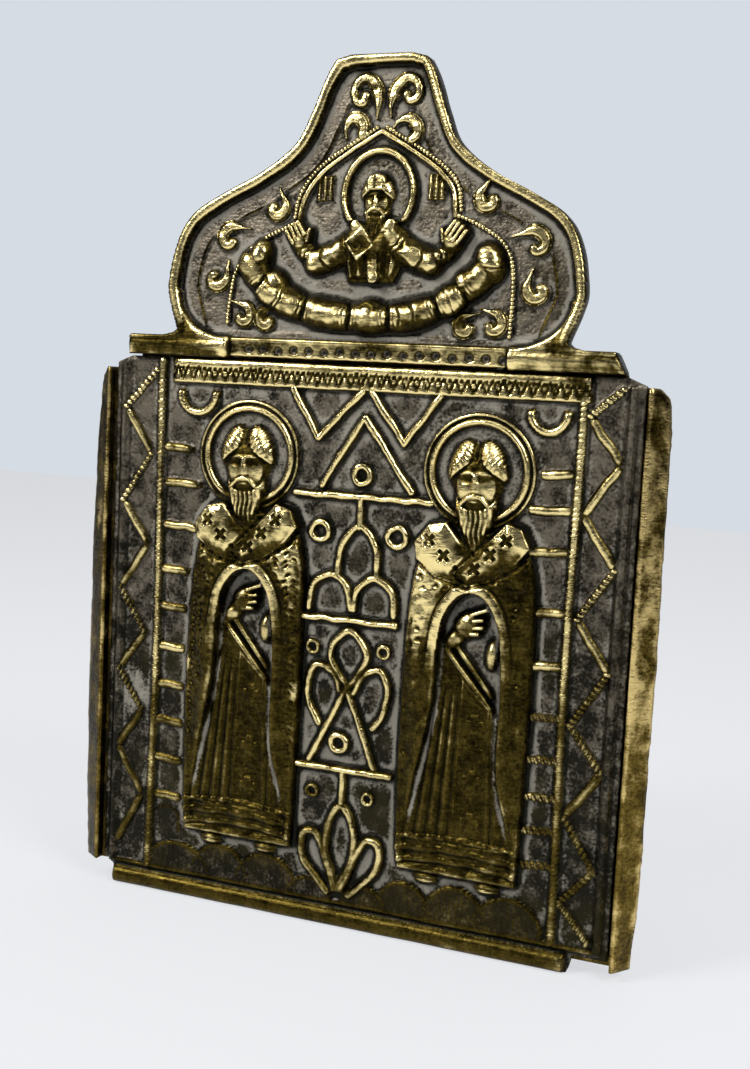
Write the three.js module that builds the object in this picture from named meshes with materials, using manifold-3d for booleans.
// Folding travel icon in cast brass: a centre leaf with a domed crest, and two wings hinged behind it.
// Millimetres, +Z up, the relief faces -Y. The origin is under the middle of the object's box.

import * as THREE from "three";
import { mergeVertices } from "three/addons/utils/BufferGeometryUtils.js";
import Module from "manifold-3d";

const wasm = await Module();
wasm.setup();

// Overall sizes of the centre panel
const panelHalfWidth = 45.9;
const panelThickness = 1.8;
const footHeight = 4.5; // from the underside of the foot bar to the bottom of the field
const fieldHeight = 88;
const panelHeadHeight = 1.2; // how far the panel runs up behind the title band
const cornerCut = 2.9;
const joinGap = 0.3; // between two castings that meet
const sink = 0.6; // how deep relief is rooted in its plate
const overrun = 1;

// Foot bar
const barLeftInset = 1.9; // its worn ends stop short of the panel's sides
const barRightInset = 6.4;
const barHeight = 3;
const barRelief = 1.5;
const barChamfer = 0.7;
const rightSill = 3; // the panel's lower right corner ends this far above the bar's underside

// Lines, bands and rungs of the panel
const grooveWidth = 1.9; // from the panel's side to the raised edge line
const edgeLineWidth = 0.8;
const edgeLineRelief = 0.9;
const ropeGap = 1.5; // from the rope to the zigzag band
const ropeWidth = 1.3;
const ropeRelief = 1.3;
const zigGap = 1; // from the edge line to the zigzag band
const zigBandWidth = 5;
const zigWidth = 1.1;
const zigRelief = 0.9;
const zigCount = 11;
const zigEndGap = 1.5;
const rungGap = 0.5;
const rungLength = 5.5;
const rungWidth = 1.1;
const rungRelief = 0.9;
const rungCount = 10;
const rungLow = 13;
const rungDrop = 10.8; // from the title band to the uppermost rung

// Title band and the cups under it
const bandShift = 1.5; // the band lies this far to the right of the ropes' middle
const bandDrop = 3.2; // from the top of the field to the band's underside
const bandRelief = 1;
const cupGap = 2; // from the rope to a cup's rim
const cupDrop = 1.8; // from the band to the middle of a cup
const cupRadius = 3.8;
const cupWall = 1;

// Standing figures
const figureX = 20.2;
const robeHalfWidth = 10.3;
const robeLow = 9;
const robeRelief = 1.3;
const robeRound = 0.9;
const underRobeRelief = 0.9;
const foldWidth = 0.8;
const foldCount = 3;
const haloDrop = 11.5; // from the band to the middle of a halo
const shoulderDrop = 7.3; // from there to the robe's upper edge
const haloRadius = 8.8;
const haloRing = 1.3;
const haloRelief = 1.1;
const headHalfWidth = 4.3;
const headHalfHeight = 6.2;
const headDepth = 2.5;
const shoulderWidth = 2.6;
const bookWidth = 1.1;
const bookRelief = 1.7;
const handRadius = 1.7;
const groundHeight = 6.5;
const groundRelief = 0.9;
const hillCount = 8;
const hillDipShare = 0.72;

// Ornament between the figures
const ornamentHalfWidth = 12;
const ornamentLine = 1.3;
const ornamentRelief = 1.2;
const bossRadius = 1.8;
const bossHole = 0.7;
const beadRadius = 1.2;

// Crest
const crestHalfWidth = 35.8;
const crestHeight = 45.5;
const crestRim = 2.3;
const crestRimRelief = 2.2;
const crestLean = 3.3; // how far the top sits behind the panel's plane
const ledgeInset = 2.9; // from the panel's side to a ledge's end
const ledgeInner = 24;
const ledgeHeight = 3.4;
const ledgeRelief = 2;
const ledgeChamfer = 0.9;
const stripRelief = 0.6;
const tongueGap = 2.5; // from the tongue to a side strip's back
const tongueDepth = 11;
const archLine = 1;
const archRelief = 0.8;
const scrollLine = 0.9;
const scrollRelief = 0.8;
const scrollRadius = 2;
const scrollSteps = 5;
const crestHaloHeight = 27; // above the crest's foot, like the next values
const crestHaloRadius = 5.6;
const crestHaloRing = 1;
const crestHeadHalfWidth = 2.6;
const crestHeadHalfHeight = 4.4;
const crestHeadDepth = 2.1;
const armWidth = 3.6;
const armRelief = 1.8;
const garlandHalfWidth = 19.5;
const garlandLow = 8.5;
const garlandRise = 9.5;
const lobeRadius = 2.9;
const lobeDepth = 2.2;
const lobeCount = 11;

// Side strips, knuckles and pins
const stripWidth = 3.5; // seen from the front
const stripLean = 3.1;
const stripNose = 1;
const stripBackWidth = 14.2;
const stripThickness = 1.4;
const stripEdge = 1.1;
const stripRise = 0.5; // above the panel's lower right corner
const stripDrop = 1.4; // below the panel's upper edge
const knuckleRadius = 2.2;
const knuckleHole = 1.2;
const pinRadius = 0.9;
const axisInset = 5.7; // from the strip's outer edge to the hinge axis
const axisGap = 0.6; // between a wing's knuckle and the strip behind it
const barrelRise = 2.5; // above the strip's lower end
const barrelDrop = 5.8; // below its upper end
const knuckleCount = 7;
const pinHeadRadius = 1.7;
const pinHeadHeight = 0.9;
const pinFaceShare = 0.7; // of the head's radius
const pinRunout = 0.3;

// Rivets
const rivetRadius = 0.9;
const rivetHeadRadius = 1.7;
const rivetHeadHeight = 1;
const rivetHeadShares = [[1, 0], [0.85, 0.6], [0.45, 1]]; // of the head's radius and height
const rivetBite = 1;
const rivetInset = 3;
const rivetClear = 0.3;
const rivetEndInset = 9;

// Wings
const wingMiddleGap = 1.4; // from a folded wing's free edge to the middle of the leaf
const wingDrop = 5.7; // from the panel's upper edge to a wing's
const wingThickness = 1.8;
const wingClear = 0.5;
const wingBorder = 2.2;
const wingBorderRelief = 0.9;
const wingBorderInset = 1.6;
const wingLine = 1.1;
const wingCrossHalf = 9;
const wingCrossRelief = 1;
const wingDiamond = 5.5;
const wingDiamondCount = 3;
const diamondPitchShare = 1.9; // of a diamond's half height
const diamondWidthShare = 0.8;
const wingCrossHeightShare = 0.58; // of the wing's height
const restDegrees = 58; // the wings stand back from the panel by this angle

const restAngle = THREE.MathUtils.degToRad(restDegrees);
const quarter = Math.PI / 2;
const mergeTolerance = 1e-4;
const roundSides = 18;
const knuckleSides = 14;
const rivetSides = 8;
const barLeft = panelHalfWidth - barLeftInset;
const barRight = panelHalfWidth - barRightInset;
const edgeLineX = panelHalfWidth - grooveWidth;
const zigOuter = edgeLineX - zigGap;
const zigInner = zigOuter - zigBandWidth;
const ropeX = zigInner - ropeGap;
const rungOuter = ropeX - rungGap;
const rungInner = rungOuter - rungLength;
const bandLeft = ropeX - bandShift;
const bandRight = ropeX + bandShift;
const cupX = ropeX - cupGap - cupRadius;
const ledgeHalfWidth = panelHalfWidth - ledgeInset;
const stripOuter = panelHalfWidth + joinGap + stripWidth;
const stripInner = stripOuter - stripBackWidth;
const tongueHalfWidth = stripInner - tongueGap;
const axisX = stripOuter - axisInset;
const wingReach = axisX - wingMiddleGap;
const panelTop = footHeight + fieldHeight + panelHeadHeight;
const bandLow = fieldHeight - bandDrop;
const cupHeight = bandLow - cupDrop;
const rungHigh = bandLow - rungDrop;
const haloHeight = bandLow - haloDrop;
const robeHeight = haloHeight - shoulderDrop - robeLow;
const stripLow = rightSill + stripRise;
const stripTop = panelTop - stripDrop;
const barrelLow = stripLow + barrelRise;
const barrelHigh = stripTop - barrelDrop;
const wingHeight = panelTop - wingDrop;
const crestFoot = panelTop + joinGap;
const crestBase = crestFoot + ledgeHeight;
const stripBack = panelThickness + stripThickness;
const axisY = stripBack + axisGap + knuckleRadius;

// Closed meshes and solids
function toSolid(geometry) {
  const bare = geometry.clone();
  bare.deleteAttribute("normal");
  bare.deleteAttribute("uv");
  const merged = mergeVertices(bare, mergeTolerance);
  const triVerts = new Uint32Array(merged.index.array);
  const vertProperties = new Float32Array(merged.attributes.position.array);
  return new wasm.Manifold(new wasm.Mesh({ numProp: 3, vertProperties, triVerts }));
}

function toGeometry(solid) {
  const mesh = solid.getMesh();
  const geometry = new THREE.BufferGeometry();
  geometry.setAttribute("position", new THREE.BufferAttribute(new Float32Array(mesh.vertProperties), 3));
  geometry.setIndex(new THREE.BufferAttribute(new Uint32Array(mesh.triVerts), 1));
  const flat = geometry.toNonIndexed();
  flat.computeVertexNormals();
  return flat;
}

function join(solids) {
  return solids.reduce((sum, solid) => sum.add(solid));
}

// An outline in the plane of the panel, with relief running from one height to another towards -Y
function slab(outline, low, high) {
  const shape = outline instanceof THREE.Shape ? outline : new THREE.Shape(outline);
  const geometry = new THREE.ExtrudeGeometry(shape, {
    depth: high - low, bevelEnabled: false, curveSegments: roundSides / 2,
  });
  geometry.translate(0, 0, low);
  geometry.rotateX(quarter);
  return toSolid(geometry);
}

function pillow(outline, low, high, round) {
  const geometry = new THREE.ExtrudeGeometry(new THREE.Shape(outline), {
    depth: high - low - round, bevelEnabled: true, bevelThickness: round, bevelSize: round,
    bevelOffset: -round, bevelSegments: 2,
  });
  geometry.translate(0, 0, low);
  geometry.rotateX(quarter);
  return toSolid(geometry).intersect(slab(boxOutline(-leafSpan, leafSpan, -leafSpan, leafSpan), low, high));
}

function boxOutline(left, right, low, high) {
  return [
    new THREE.Vector2(left, low), new THREE.Vector2(right, low),
    new THREE.Vector2(right, high), new THREE.Vector2(left, high),
  ];
}

// A raised line along points of the panel's plane, with sloping sides
function ridge(points, width, relief, topShare = 0.45) {
  const half = width / 2;
  const section = [[-half, -sink], [-half * topShare, relief], [half * topShare, relief], [half, -sink]];
  const corners = [];
  points.forEach((point, index) => {
    const before = points[Math.max(index - 1, 0)];
    const after = points[Math.min(index + 1, points.length - 1)];
    const inward = point.clone().sub(before);
    const onward = after.clone().sub(point);
    if (index === 0) inward.copy(onward);
    if (index === points.length - 1) onward.copy(inward);
    inward.normalize();
    onward.normalize();
    const across = new THREE.Vector2(-inward.y - onward.y, inward.x + onward.x).normalize();
    const stretch = 1 / Math.max(across.dot(new THREE.Vector2(-inward.y, inward.x)), 0.5);
    const reach = index === 0 ? -half : index === points.length - 1 ? half : 0;
    section.forEach(([side, height]) => {
      const x = point.x + across.x * side * stretch + inward.x * reach;
      const z = point.y + across.y * side * stretch + inward.y * reach;
      corners.push(x, -height, z);
    });
  });
  const faces = [];
  const sides = section.length;
  for (let index = 0; index < points.length - 1; index += 1) {
    for (let side = 0; side < sides; side += 1) {
      const a = index * sides + side;
      const b = index * sides + (side + 1) % sides;
      faces.push(a, a + sides, b, b, a + sides, b + sides);
    }
  }
  const last = (points.length - 1) * sides;
  faces.push(0, 1, 2, 0, 2, 3, last, last + 2, last + 1, last, last + 3, last + 2);
  const geometry = new THREE.BufferGeometry();
  geometry.setAttribute("position", new THREE.Float32BufferAttribute(corners, 3));
  geometry.setIndex(faces);
  return toSolid(geometry);
}

function ring(x, z, outer, inner, relief) {
  const shape = new THREE.Shape();
  shape.absarc(x, z, outer, 0, Math.PI * 2);
  const hole = new THREE.Path();
  hole.absarc(x, z, inner, 0, Math.PI * 2);
  shape.holes.push(hole);
  return slab(shape, -sink, relief);
}

// A rounded swelling that stands out of its plate
function dome(x, z, halfWidth, halfHeight, depth, tilt = 0, across = 12, down = 8) {
  const geometry = new THREE.SphereGeometry(1, across, down);
  geometry.rotateX(quarter);
  geometry.scale(halfWidth, depth, halfHeight);
  geometry.rotateY(tilt);
  geometry.translate(x, 0, z);
  const span = halfWidth + halfHeight;
  const front = slab(boxOutline(x - span, x + span, z - span, z + span), -sink, depth + sink);
  return toSolid(geometry).intersect(front);
}

// A bar along X with a chamfered front, between two heights above the ground
function bar(left, right, low, high, back, front, chamfer) {
  const shape = new THREE.Shape([
    new THREE.Vector2(-back, low), new THREE.Vector2(-back, high),
    new THREE.Vector2(-front + chamfer, high), new THREE.Vector2(-front, high - chamfer),
    new THREE.Vector2(-front, low + chamfer), new THREE.Vector2(-front + chamfer, low),
  ]);
  const geometry = new THREE.ExtrudeGeometry(shape, { depth: right - left, bevelEnabled: false });
  // the outline's own axes become depth and height, and the run becomes X
  geometry.applyMatrix4(new THREE.Matrix4().set(0, 0, 1, left, 1, 0, 0, 0, 0, 1, 0, 0, 0, 0, 0, 1));
  return toSolid(geometry);
}

// A turned solid along Z or along Y
function turned(profile, sides, upright) {
  const geometry = new THREE.LatheGeometry(profile.map(([x, y]) => new THREE.Vector2(x, y)), sides);
  if (upright) geometry.rotateX(quarter);
  return toSolid(geometry);
}

function cylinder(radius, low, high, upright = true, sides = knuckleSides) {
  return turned([[0, low], [radius, low], [radius, high], [0, high]], sides, upright);
}

function along(shares, width, height, x, z) {
  return shares.map(([across, up]) => new THREE.Vector2(x + across * width, z + up * height));
}

const leafSpan = panelTop + crestHeight + crestHalfWidth;
const field = (height) => footHeight + height;

// Centre panel: plate, foot bar, lines, bands and rungs
function panelPlate() {
  const top = footHeight + fieldHeight;
  return slab([
    new THREE.Vector2(-panelHalfWidth, footHeight), new THREE.Vector2(-barLeft, barHeight),
    new THREE.Vector2(-barLeft, 0), new THREE.Vector2(barRight, 0),
    new THREE.Vector2(barRight, rightSill), new THREE.Vector2(panelHalfWidth, rightSill),
    new THREE.Vector2(panelHalfWidth, top), new THREE.Vector2(panelHalfWidth - cornerCut, panelTop),
    new THREE.Vector2(cornerCut - panelHalfWidth, panelTop), new THREE.Vector2(-panelHalfWidth, top),
  ], -panelThickness, 0);
}

function panelLines() {
  const low = field(0);
  const high = field(fieldHeight);
  const lines = [bar(-barLeft, barRight, 0, barHeight, -sink, barRelief, barChamfer)];
  lines.push(bar(-bandLeft, bandRight, field(bandLow), panelTop, -sink, bandRelief, bandRelief / 3));
  lines.push(ridge([new THREE.Vector2(-edgeLineX, low), new THREE.Vector2(edgeLineX, low)],
    edgeLineWidth, edgeLineRelief));
  for (const side of [-1, 1]) {
    const post = (x) => [new THREE.Vector2(side * x, low), new THREE.Vector2(side * x, high)];
    lines.push(ridge(post(edgeLineX), edgeLineWidth, edgeLineRelief));
    lines.push(ridge(post(ropeX), ropeWidth, ropeRelief));
    const step = (fieldHeight - 2 * zigEndGap) / zigCount;
    for (let index = 0; index < zigCount; index += 1) {
      const from = high - zigEndGap - index * step;
      const inward = index % 2 === 0;
      const start = new THREE.Vector2(side * (inward ? zigInner : zigOuter), from);
      const end = new THREE.Vector2(side * (inward ? zigOuter : zigInner), from - step + zigWidth);
      lines.push(ridge([start, end], zigWidth, zigRelief));
    }
    const pitch = (rungHigh - rungLow) / (rungCount - 1);
    for (let index = 0; index < rungCount; index += 1) {
      const height = field(rungLow + index * pitch);
      const run = [new THREE.Vector2(side * rungInner, height), new THREE.Vector2(side * rungOuter, height)];
      lines.push(ridge(run, rungWidth, rungRelief));
    }
    const cup = ring(side * cupX, field(cupHeight), cupRadius, cupRadius - cupWall, bandRelief);
    const below = slab(boxOutline(side * cupX - ropeX, side * cupX + ropeX, 0, field(bandLow) + overrun),
      -sink, bandRelief);
    lines.push(cup.intersect(below));
  }
  return lines;
}

// One standing figure: halo, head, robe with an open front, under-robe, stole, book and hand
const robeShares = [[-1, 0], [-1, 0.84], [-0.86, 0.92], [-0.36, 1], [0.36, 1], [0.86, 0.92], [1, 0.84],
  [1, 0]];
const openingShares = [[-0.86, 0.06], [-0.36, 0.62], [-0.38, 0.72], [-0.22, 0.785], [0.1, 0.8], [0.38, 0.76],
  [0.5, 0.66], [0.56, 0.5], [0.9, 0.06]];
const stoleShares = [[0.12, 0.06], [0.1, 0.5], [0.42, 0.46], [0.62, 0.06]];
const shoulderShares = [[-0.92, 0.93], [-0.4, 0.84], [0, 0.81], [0.4, 0.84], [0.92, 0.93]];
const collarShares = [[-0.5, 1], [0, 0.86], [0.5, 1]];
const bookShares = [[-0.22, 0.62], [0.4, 0.46]];
const hemShares = [[-1, 0.015], [-0.4, 0.05], [0.4, 0.05], [1, 0.015]];
const handShares = [[-0.02, 0.7]];
const feetShares = [[-0.5, -0.03], [0.5, -0.03]];

function figure(side) {
  const x = side * figureX;
  const low = field(robeLow);
  const place = (shares) => along(shares, robeHalfWidth, robeHeight, x, low);
  const robeTop = underRobeRelief + robeRelief;
  const opening = slab(place(openingShares), underRobeRelief, robeTop + overrun);
  const parts = [pillow(place(robeShares), -sink, robeTop, robeRound).subtract(opening)];
  parts.push(slab(place(stoleShares), 0, underRobeRelief + foldWidth / 2));
  for (let index = 0; index < foldCount; index += 1) {
    const share = (index + 1) / (foldCount + 1);
    const fold = [[-0.3 + 0.3 * share, 0.56], [-0.82 + 0.86 * share, 0.07]];
    parts.push(ridge(place(fold), foldWidth, underRobeRelief + foldWidth / 2));
  }
  parts.push(ridge(place(shoulderShares), shoulderWidth, robeTop + foldWidth / 2));
  parts.push(ridge(place(collarShares), foldWidth * 2, robeTop + foldWidth));
  parts.push(ridge(place(hemShares), foldWidth * 2, robeTop));
  parts.push(ridge(place(bookShares), bookWidth, bookRelief));
  place(handShares).forEach((hand) => {
    parts.push(dome(hand.x, hand.y, handRadius * 1.2, handRadius, bookRelief, 0, 8, 6));
  });
  place(feetShares).forEach((foot) => {
    parts.push(dome(foot.x, foot.y, handRadius * 1.4, handRadius, handRadius, 0, 8, 6));
  });
  const halo = field(haloHeight);
  parts.push(ring(x, halo, haloRadius, haloRadius - haloRing, haloRelief));
  parts.push(dome(x, halo, headHalfWidth, headHalfHeight, headDepth));
  parts.push(dome(x, halo + headHalfHeight / 3, headHalfWidth * 1.1, headHalfHeight * 0.7, headDepth * 1.1));
  return parts;
}

// Hillocks at the figures' feet
function ground() {
  const points = [new THREE.Vector2(-ropeX, field(0))];
  const steps = hillCount * 4;
  for (let index = 0; index <= steps; index += 1) {
    const share = index / steps;
    const swell = hillDipShare + (1 - hillDipShare) * Math.abs(Math.sin(share * hillCount * Math.PI));
    points.push(new THREE.Vector2(ropeX * (2 * share - 1), field(groundHeight * swell)));
  }
  points.push(new THREE.Vector2(ropeX, field(0)));
  return slab(points, -sink, groundRelief);
}

// Ornament between the figures, as shares of its half width and of the field's height
const ornamentLineShares = [
  [[-1, 0.966], [-0.58, 0.875], [0, 0.966]],
  [[0.17, 0.966], [0.67, 0.875], [1.17, 0.966]],
  [[-0.5, 0.795], [0.08, 0.92], [0.79, 0.79]],
  [[-0.87, 0.773], [1.08, 0.773]],
  [[0.08, 0.773], [0.08, 0.727]],
  [[-0.21, 0.625], [-0.17, 0.68], [0.08, 0.716], [0.33, 0.68], [0.37, 0.625]],
  [[-0.62, 0.557], [-0.55, 0.6], [-0.29, 0.62], [-0.08, 0.6], [0.02, 0.56], [0.12, 0.6], [0.33, 0.62],
    [0.58, 0.6], [0.64, 0.557]],
  [[-0.75, 0.54], [0.67, 0.54]],
  [[-0.26, 0.47], [-0.18, 0.5], [0, 0.517], [0.18, 0.5], [0.26, 0.47], [0, 0.415], [-0.26, 0.47]],
  [[-0.08, 0.4], [-0.32, 0.455], [-0.54, 0.45], [-0.6, 0.4], [-0.46, 0.35]],
  [[0.08, 0.4], [0.32, 0.455], [0.54, 0.45], [0.6, 0.4], [0.46, 0.35]],
  [[-0.5, 0.275], [0, 0.41], [0.45, 0.275]],
  [[-0.67, 0.256], [0.67, 0.256]],
  [[0, 0.24], [0, 0.195]],
  [[0, 0.02], [-0.2, 0.09], [-0.22, 0.14], [0, 0.18], [0.22, 0.14], [0.2, 0.09], [0, 0.02]],
  [[-0.08, 0.03], [-0.16, 0.1], [-0.4, 0.13], [-0.58, 0.095], [-0.45, 0.045], [-0.2, 0.02]],
  [[0.08, 0.03], [0.16, 0.1], [0.4, 0.13], [0.6, 0.095], [0.47, 0.045], [0.2, 0.02]],
];
const bossShares = [[0.08, 0.813], [-0.5, 0.705], [0.62, 0.705], [-0.08, 0.307]];
const beadShares = [[-0.54, 0.483], [0.5, 0.489], [-0.46, 0.205], [0.38, 0.205]];

function ornament() {
  const place = (shares) => along(shares, ornamentHalfWidth, fieldHeight, 0, field(0));
  const parts = ornamentLineShares.map((shares) => ridge(place(shares), ornamentLine, ornamentRelief));
  place(bossShares).forEach((spot) => {
    parts.push(ring(spot.x, spot.y, bossRadius, bossHole, ornamentRelief));
  });
  place(beadShares).forEach((spot) => {
    parts.push(dome(spot.x, spot.y, beadRadius, beadRadius, ornamentRelief, 0, 8, 6));
  });
  return parts;
}

function rivetHoles(places) {
  return join(places.map(([x, z]) => {
    const hole = cylinder(rivetRadius + rivetClear, panelThickness - rivetBite - rivetClear,
      stripBack + overrun, false, rivetSides);
    return hole.translate(x, 0, z);
  }));
}

const crestRivets = [-1, 0, 1].map((side) => [side * (tongueHalfWidth - rivetInset * 2),
  crestFoot - tongueDepth / 2]);
const stripRivetX = stripInner + rivetInset;
const stripRivetHeights = [stripLow + rivetEndInset, (stripLow + stripTop) / 2, stripTop - rivetEndInset];

function centrePanel() {
  const places = [...crestRivets];
  for (const side of [-1, 1]) stripRivetHeights.forEach((z) => places.push([side * stripRivetX, z]));
  const parts = [panelPlate(), ...panelLines(), ground(), ...figure(-1), ...figure(1), ...ornament()];
  const trim = slab([
    new THREE.Vector2(-panelHalfWidth, 0), new THREE.Vector2(panelHalfWidth, 0),
    new THREE.Vector2(panelHalfWidth, panelTop), new THREE.Vector2(-panelHalfWidth, panelTop),
  ], -panelThickness, leafSpan);
  return join(parts).intersect(trim).subtract(rivetHoles(places));
}

// Crest: its outline as shares of its half width and height
const crestShares = [[0.927, 0], [0.983, 0.121], [1, 0.2], [0.961, 0.352], [0.88, 0.451], [0.721, 0.527],
  [0.553, 0.593], [0.391, 0.69], [0.318, 0.804], [0.26, 0.923], [0.215, 0.985]];
const crestTopShare = 0.16;

function crestOutline(inset) {
  const side = new THREE.SplineCurve(along(crestShares, crestHalfWidth, crestHeight, 0, crestBase));
  const right = [];
  const steps = roundSides;
  for (let index = 0; index <= steps; index += 1) {
    const point = side.getPointAt(index / steps);
    const tangent = side.getTangentAt(index / steps);
    right.push(new THREE.Vector2(point.x - tangent.y * inset, point.y + tangent.x * inset));
  }
  right.push(new THREE.Vector2(crestTopShare * crestHalfWidth, crestBase + crestHeight - inset));
  const left = right.map((point) => new THREE.Vector2(-point.x, point.y)).reverse();
  return [...right, ...left];
}

function spiral(x, z, radius, side) {
  const points = [];
  for (let index = 0; index <= scrollSteps; index += 1) {
    const share = index / scrollSteps;
    const angle = side * (quarter * 3.4 * share - quarter);
    const reach = radius * (1 - 0.62 * share);
    points.push(new THREE.Vector2(x + side * reach * Math.sin(angle), z + reach * Math.cos(angle)));
  }
  return ridge(points, scrollLine, scrollRelief);
}

const archShares = [[0.03, 0.74], [-0.2, 0.61], [-0.34, 0.505], [-0.38, 0.42], [-0.56, 0.35], [-0.67, 0.22],
  [-0.71, 0.03]];
const armShares = [[0.07, 0.37], [0.25, 0.26], [0.36, 0.36]];
const scrollShares = [[0.1, 0.86], [0.13, 0.74], [0.49, 0.46], [0.72, 0.33], [0.79, 0.2], [0.56, 0.07],
  [0.46, 0.06]];

function crestRelief() {
  const place = (shares) => along(shares, crestHalfWidth, crestHeight, 0, crestBase);
  const parts = [];
  for (const side of [-1, 1]) {
    const mirrored = (shares) => place(shares).map((point) => new THREE.Vector2(side * point.x, point.y));
    parts.push(ridge(mirrored(archShares), archLine, archRelief));
    mirrored(scrollShares).forEach((spot) => {
      parts.push(spiral(spot.x, spot.y, scrollRadius, side));
    });
    const [shoulder, elbow, hand] = mirrored(armShares);
    parts.push(ridge([shoulder, elbow], armWidth, armRelief, 0.6));
    parts.push(ridge([elbow, hand], armWidth * 0.8, armRelief, 0.6));
    parts.push(dome(hand.x, hand.y + handRadius / 2, handRadius, handRadius * 1.4, handRadius, 0, 8, 6));
  }
  const halo = crestFoot + crestHaloHeight;
  parts.push(ring(0, halo, crestHaloRadius, crestHaloRadius - crestHaloRing, archRelief * 1.5));
  parts.push(dome(0, halo, crestHeadHalfWidth, crestHeadHalfHeight, crestHeadDepth));
  parts.push(dome(0, halo - crestHeadHalfHeight * 2, armWidth, armWidth * 1.2, armRelief));
  for (let index = 0; index < lobeCount; index += 1) {
    const share = 2 * index / (lobeCount - 1) - 1;
    const swell = 0.8 + 0.25 * Math.abs(share);
    const height = crestFoot + garlandLow + garlandRise * share * share;
    parts.push(dome(share * garlandHalfWidth, height, lobeRadius * swell, lobeRadius, lobeDepth, 0, 8, 6));
  }
  return parts;
}

function crest() {
  const outer = crestOutline(0);
  const inner = crestOutline(crestRim);
  const shape = new THREE.Shape(outer);
  shape.holes.push(new THREE.Path(inner.map((point) => point.clone().setY(
    Math.max(point.y, crestBase + ledgeHeight / 3)))));
  const rim = slab(shape, -sink, crestRimRelief);
  const upper = join([slab(outer, -panelThickness, 0), rim, ...crestRelief()]);
  const leaning = upper.warp((point) => {
    point[1] += crestLean * Math.max(point[2] - crestBase, 0) / crestHeight;
  });
  const foot = bar(-ledgeHalfWidth, ledgeHalfWidth, crestFoot, crestBase + sink, -stripBack, stripRelief,
    stripRelief / 2);
  const parts = [leaning, foot];
  for (const side of [-1, 1]) {
    const ends = [side * ledgeInner, side * ledgeHalfWidth].sort((a, b) => a - b);
    parts.push(bar(ends[0], ends[1], crestFoot, crestBase, -sink, ledgeRelief, ledgeChamfer));
  }
  parts.push(slab(boxOutline(-tongueHalfWidth, tongueHalfWidth, crestFoot - tongueDepth, crestFoot + overrun),
    -stripBack, -panelThickness));
  return join(parts).subtract(rivetHoles(crestRivets));
}

// Side strip of the right side: leaning edge, flat back and its share of the hinge barrel
const knuckleLength = (barrelHigh - barrelLow - (knuckleCount - 1) * joinGap) / knuckleCount;

function knuckles(first) {
  const solids = [];
  for (let index = first; index < knuckleCount; index += 2) {
    const low = barrelLow + index * (knuckleLength + joinGap);
    solids.push(cylinder(knuckleRadius, low, low + knuckleLength));
  }
  return solids;
}

function barrelHole() {
  return cylinder(knuckleHole, barrelLow - overrun, barrelHigh + overrun);
}

function upright(points, low, high) {
  const shape = new THREE.Shape(points.map(([x, y]) => new THREE.Vector2(x, y)));
  const geometry = new THREE.ExtrudeGeometry(shape, { depth: high - low, bevelEnabled: false });
  geometry.translate(0, 0, low);
  return toSolid(geometry);
}

function sideStrip() {
  const inner = panelHalfWidth + joinGap;
  const tip = stripLean - stripNose;
  const body = upright([
    [inner, -stripNose], [inner + stripEdge / 2, -stripNose], [stripOuter, tip],
    [stripOuter - stripEdge, stripBack], [stripInner, stripBack],
    [stripInner, panelThickness], [inner, panelThickness],
  ], stripLow, stripTop);
  const barrel = join(knuckles(0)).translate(axisX, axisY, 0);
  const saddles = [];
  for (let index = 0; index < knuckleCount; index += 2) {
    const low = barrelLow + index * (knuckleLength + joinGap);
    saddles.push(upright([
      [axisX - knuckleRadius, stripBack - sink], [axisX + knuckleRadius, stripBack - sink],
      [axisX + knuckleRadius, axisY], [axisX - knuckleRadius, axisY],
    ], low, low + knuckleLength));
  }
  const places = stripRivetHeights.map((z) => [stripRivetX, z]);
  return join([body, barrel, ...saddles])
    .subtract(barrelHole().translate(axisX, axisY, 0))
    .subtract(rivetHoles(places));
}

// Hinge pin with two peened heads
function hingePin() {
  const low = barrelLow - pinRunout;
  const high = barrelHigh + pinRunout;
  return turned([
    [0, low - pinHeadHeight], [pinHeadRadius * pinFaceShare, low - pinHeadHeight],
    [pinHeadRadius, low - pinHeadHeight / 2],
    [pinHeadRadius, low], [pinRadius, low], [pinRadius, high], [pinHeadRadius, high],
    [pinHeadRadius, high + pinHeadHeight / 2], [pinHeadRadius * pinFaceShare, high + pinHeadHeight],
    [0, high + pinHeadHeight],
  ], knuckleSides, true);
}

// Rivet along Y, its head behind the strip
function rivet() {
  const bottom = panelThickness - rivetBite;
  const head = rivetHeadShares.map(([across, up]) => (
    [across * rivetHeadRadius, stripBack + up * rivetHeadHeight]));
  return turned([
    [0, bottom], [rivetRadius, bottom], [rivetRadius, stripBack], ...head, [0, stripBack + rivetHeadHeight],
  ], rivetSides, false);
}

// Wing, folded along -X from its hinge axis, with its relief on the +Y side
const wingCrossShares = [
  [[0, -1.3], [0, 1.6]],
  [[-0.5, 1.15], [0.5, 1.15]],
  [[-1, 0.6], [1, 0.6]],
  [[-0.6, -1.25], [0.6, -1.25]],
  [[-1, -1.55], [1, -1.55]],
];
const wingDiamondShares = [[-1, 0], [0, 1], [1, 0], [0, -1], [-1, 0]];

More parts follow.
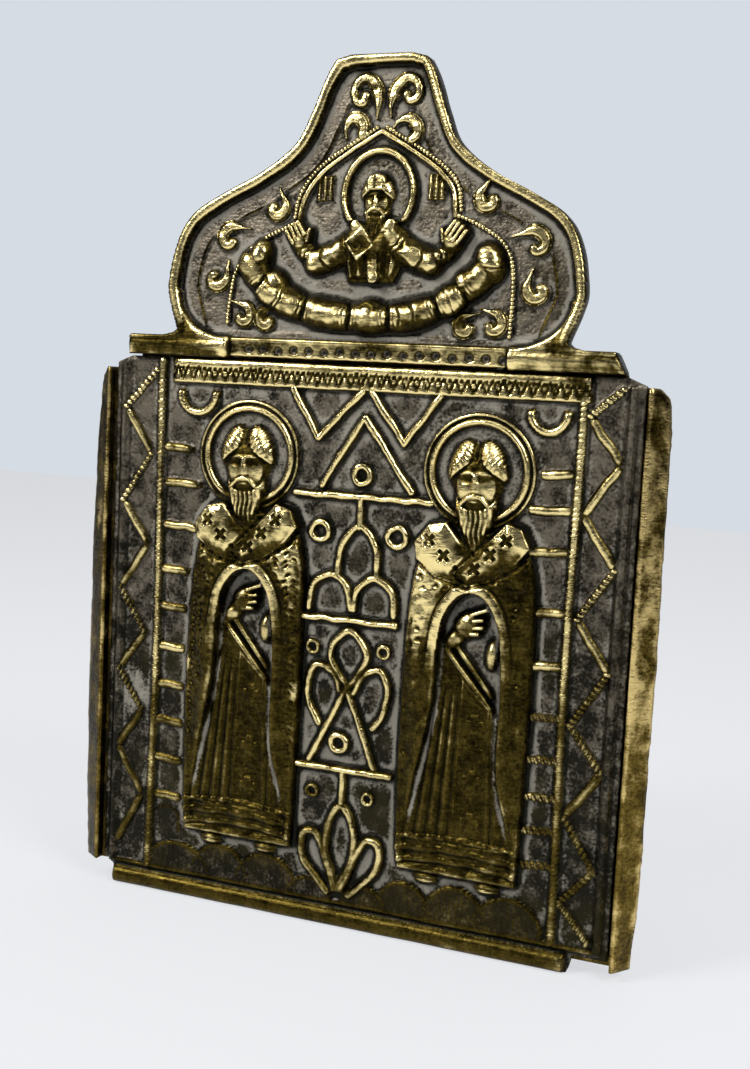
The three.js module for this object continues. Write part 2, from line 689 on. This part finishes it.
function wing() {
  const near = knuckleRadius + wingClear;
  const half = wingThickness / 2;
  const plate = slab(boxOutline(near, wingReach, 0, wingHeight), -half, half);
  const solids = [];
  const low = wingBorderInset + wingBorder / 2;
  const left = near + low;
  const right = wingReach - low;
  const high = wingHeight - low;
  const frame = boxOutline(left, right, low, high);
  frame.forEach((corner, index) => {
    solids.push(ridge([corner, frame[(index + 1) % frame.length]], wingBorder, wingBorderRelief));
  });
  const middle = new THREE.Vector2((left + right) / 2, wingHeight * wingCrossHeightShare);
  wingCrossShares.forEach((shares) => {
    const run = along(shares, wingCrossHalf, wingCrossHalf, middle.x, middle.y);
    solids.push(ridge(run, wingLine * 2, wingCrossRelief));
  });
  for (let index = 0; index < wingDiamondCount; index += 1) {
    const pitch = wingDiamond * diamondPitchShare;
    const x = middle.x + (index - (wingDiamondCount - 1) / 2) * pitch;
    for (const z of [low + pitch, wingHeight - low - pitch]) {
      const corners = along(wingDiamondShares, wingDiamond * diamondWidthShare, wingDiamond, x, z);
      solids.push(ridge(corners, wingLine, wingBorderRelief));
    }
  }
  const relief = join(solids).translate(0, -half, 0);
  const necks = [];
  for (let index = 1; index < knuckleCount; index += 2) {
    const from = barrelLow + index * (knuckleLength + joinGap);
    necks.push(slab(boxOutline(0, near + overrun, from, from + knuckleLength), -half, half));
  }
  // the relief was raised towards -Y with the wing along +X, so half a turn folds it
  return join([plate, relief, ...knuckles(1), ...necks])
    .subtract(barrelHole())
    .rotate([0, 0, 180]);
}

// Finishes
const finishes = {
  panel: { color: 0x7d6a3c, roughness: 0.42, metalness: 0.9 },
  crest: { color: 0x8a7642, roughness: 0.38, metalness: 0.9 },
  strip: { color: 0x6b5a30, roughness: 0.45, metalness: 0.9 },
  wing: { color: 0x75623a, roughness: 0.48, metalness: 0.9 },
  pin: { color: 0x5c4d2c, roughness: 0.5, metalness: 0.9 },
};

function piece(name, solid, finish) {
  const mesh = new THREE.Mesh(toGeometry(solid), new THREE.MeshStandardMaterial(finishes[finish]));
  mesh.name = name;
  return mesh;
}

const icon = new THREE.Group();
icon.add(piece("centre_panel", centrePanel(), "panel"));
icon.add(piece("crest", crest(), "crest"));

["left", "middle", "right"].forEach((place, index) => {
  const stud = piece(`crest_rivet_${place}`, rivet(), "pin");
  stud.position.set(crestRivets[index][0], 0, crestRivets[index][1]);
  icon.add(stud);
});

for (const [hand, side] of [["left", -1], ["right", 1]]) {
  const mirror = (solid) => (side < 0 ? solid.mirror([1, 0, 0]) : solid);
  icon.add(piece(`${hand}_side_strip`, mirror(sideStrip()), "strip"));
  ["bottom", "middle", "top"].forEach((place, index) => {
    const stud = piece(`${hand}_strip_rivet_${place}`, rivet(), "pin");
    stud.position.set(side * stripRivetX, 0, stripRivetHeights[index]);
    icon.add(stud);
  });
  const pin = piece(`${hand}_hinge_pin`, hingePin(), "pin");
  pin.position.set(side * axisX, axisY, 0);
  icon.add(pin);
  const leaf = piece(`${hand}_wing`, mirror(wing()), "wing");
  leaf.position.set(side * axisX, axisY, 0);
  leaf.rotation.z = -side * restAngle;
  icon.add(leaf);
}

// The object stands on its foot bar and wings, with the middle of its depth over the origin
const box = new THREE.Box3().setFromObject(icon, true);
icon.position.set(-(box.min.x + box.max.x) / 2, -(box.min.y + box.max.y) / 2, -box.min.z);

export default icon;
